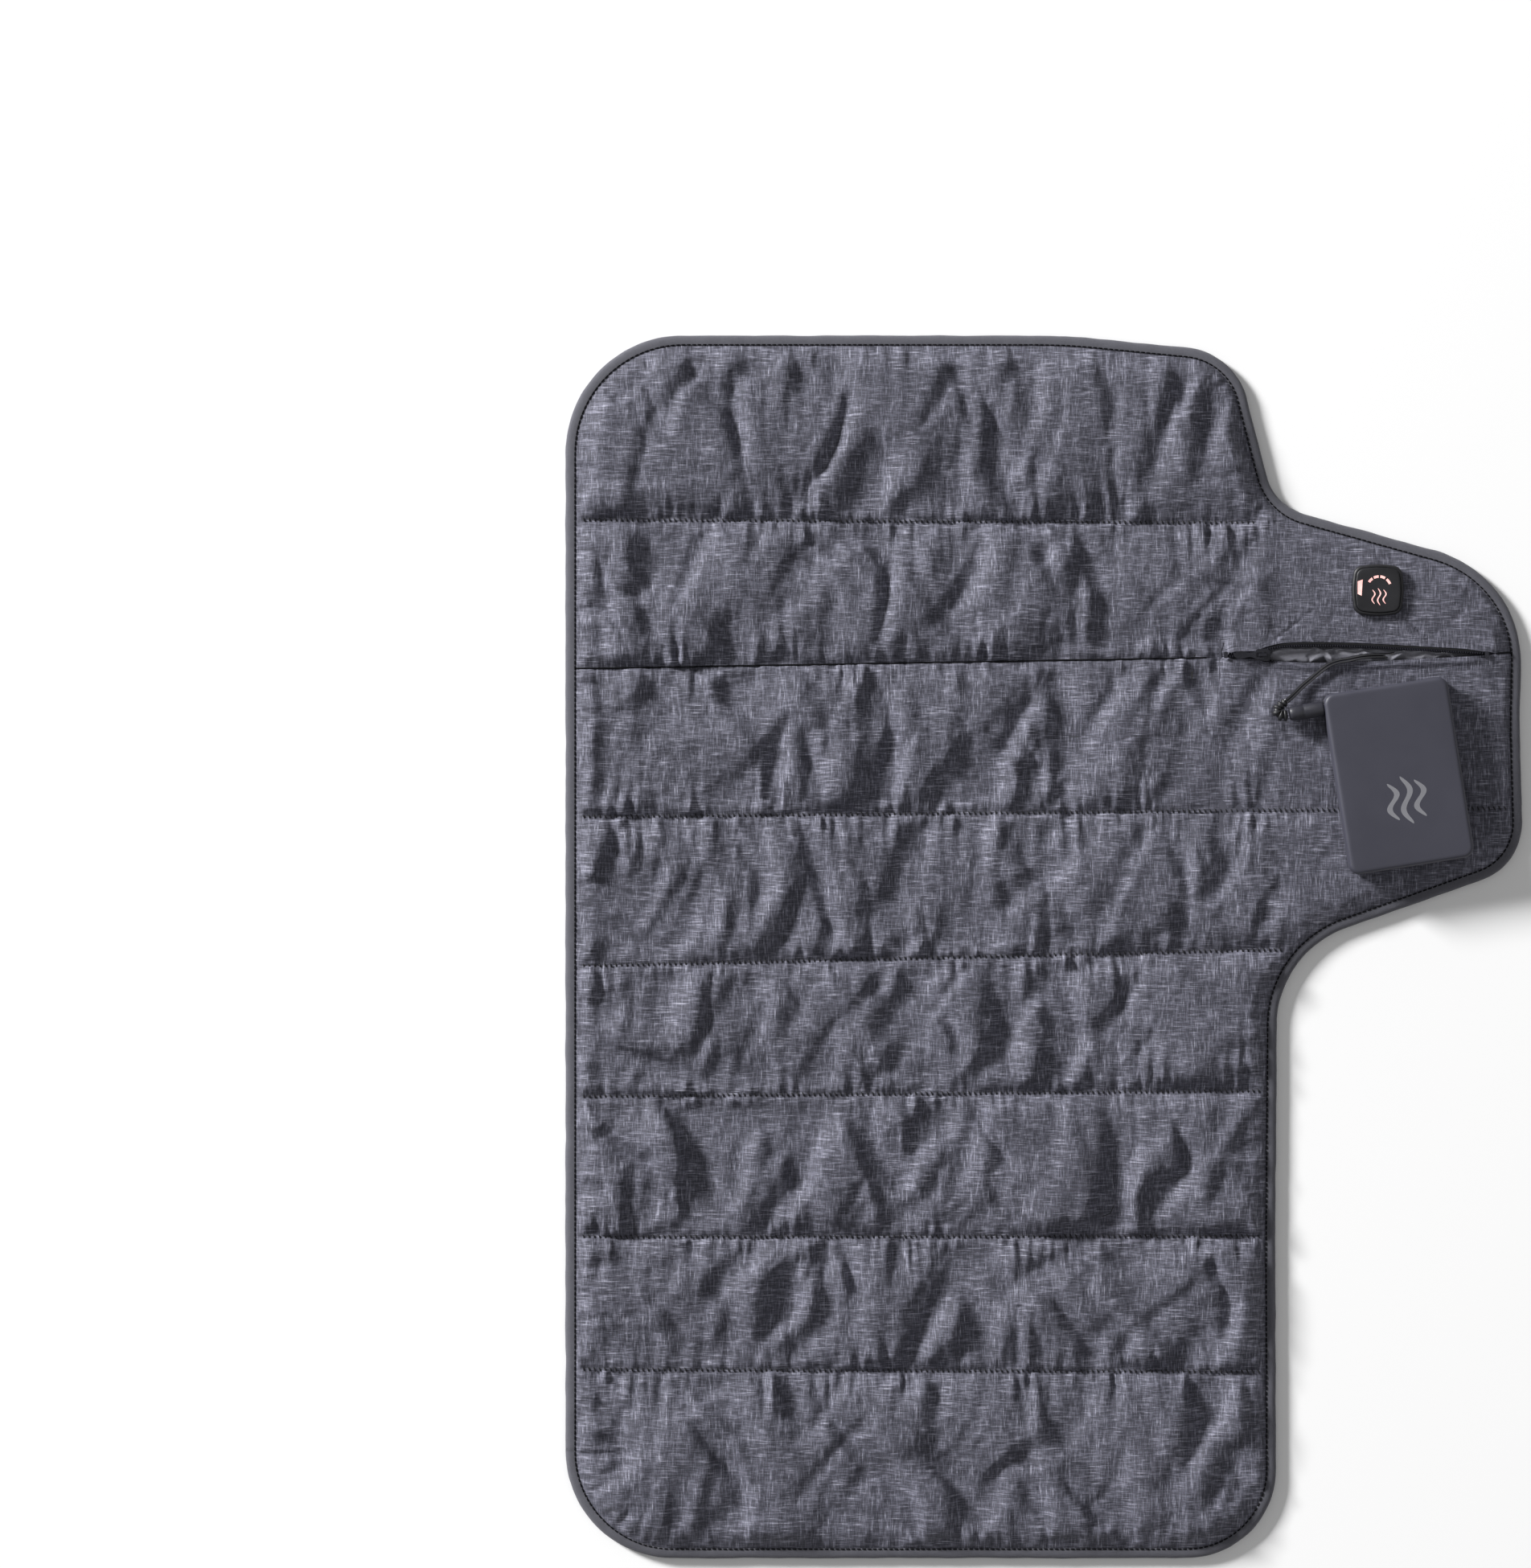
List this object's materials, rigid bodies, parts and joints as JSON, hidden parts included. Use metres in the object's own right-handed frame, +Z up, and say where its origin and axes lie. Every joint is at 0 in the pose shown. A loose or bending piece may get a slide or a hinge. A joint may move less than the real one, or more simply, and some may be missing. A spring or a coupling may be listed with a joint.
{
  "type": "battery-heated quilted pad",
  "caption": "Thin quilted fabric pad with two heaters sewn in, a side tab with a square lit button, a zipped pocket and a slim battery on a short lead; it folds in half.",
  "frame": {"origin": "centre of the pad's bounding box at the surface it lies on", "axes": "+Z up out of the front face; +Y towards the pad's top edge; +X towards the side tab"},
  "size_m": [0.5366, 0.6858, 0.0223],
  "materials": {
    "heather": "heathered crosshatch polyester, matt",
    "satin": "smooth satin nylon",
    "binding": "flat woven tape",
    "batting": "soft polyester filling",
    "heater": "amber film",
    "carbon": "matt",
    "wire": "satin jacket",
    "cutoff": "matt",
    "tape": "woven tape",
    "coil": "satin nylon",
    "slider": "black enamel",
    "silicone": "soft matt",
    "plastic": "matt",
    "board": "solder mask",
    "metal": "plated",
    "light": "translucent lit",
    "case": "soft-touch",
    "cell": "foil pouch"
  },
  "bodies": {
    "pad_upper": {"lining_upper": "satin", "binding_upper": "binding", "shell_top_panel": "heather", "shell_middle_panel": "heather", "batting_upper": "batting", "batting_tab_root": "batting", "batting_shoulder": "batting", "batting_tab_corner": "batting", "heater_sheet_upper": "heater", "heating_wire_upper": "carbon", "thermal_cutoff_upper": "cutoff", "harness_branch_upper": "wire", "harness_main": "wire", "pocket_back": "satin", "pocket_front": "satin", "pocket_seam": "satin", "lead_grommet": "silicone", "zip_chain_front": "coil", "zip_chain_back": "coil", "zip_tape_front": "tape", "zip_tape_back": "tape", "zip_stop_start": "metal", "zip_stop_end": "metal", "controller_housing": "plastic", "controller_board": "board", "tact_switch": "metal", "level_lamps": "light", "controller_frame": "silicone", "plug_body": "silicone", "plug_barrel": "metal", "plug_boot": "silicone", "power_lead": "wire", "controller_lead": "wire"},
    "pad_lower": {"lining_lower": "satin", "binding_lower": "binding", "shell_bottom_panel": "heather", "batting_lower": "batting", "heater_sheet_lower": "heater", "heating_wire_lower": "carbon", "thermal_cutoff_lower": "cutoff", "harness_branch_lower": "wire"},
    "zip_slider": {"zip_slider": "slider"},
    "zip_pull": {"zip_pull": "slider"},
    "power_button": {"power_button": "silicone"},
    "battery": {"battery_case_lower": "case", "battery_case_upper": "case", "battery_cell": "cell", "battery_board": "board", "cell_strip": "metal", "power_socket": "plastic", "charge_port": "metal"}
  },
  "joints": [
    {"name": "half_fold", "type": "hinge", "parent": "pad_upper", "child": "pad_lower", "pos_m": [0, -0.00585, 0.0104], "axis": [-1, 0, 0], "range_deg": [0, 172]},
    {"name": "zip_travel", "type": "slide", "parent": "pad_upper", "child": "zip_slider", "axis": [1, 0, 0], "range_m": [0, 0.03], "deforming": ["zip_chain_front", "zip_chain_back", "zip_tape_front", "zip_tape_back"]},
    {"name": "pull_swing", "type": "hinge", "parent": "zip_slider", "child": "zip_pull", "pos_m": [0.122, 0.1635, 0.01265], "axis": [0, 1, 0], "range_deg": [0, 160]},
    {"name": "button_press", "type": "slide", "parent": "pad_upper", "child": "power_button", "axis": [0, 0, -1], "range_m": [0, 0.0007], "stiffness_N_per_m": 2000, "springref_m": -0.0004},
    {"name": "battery_unplug", "type": "slide", "parent": "pad_upper", "child": "battery", "axis": [0.9877, 0.1564, 0], "range_m": [0, 0.02]}
  ]
}
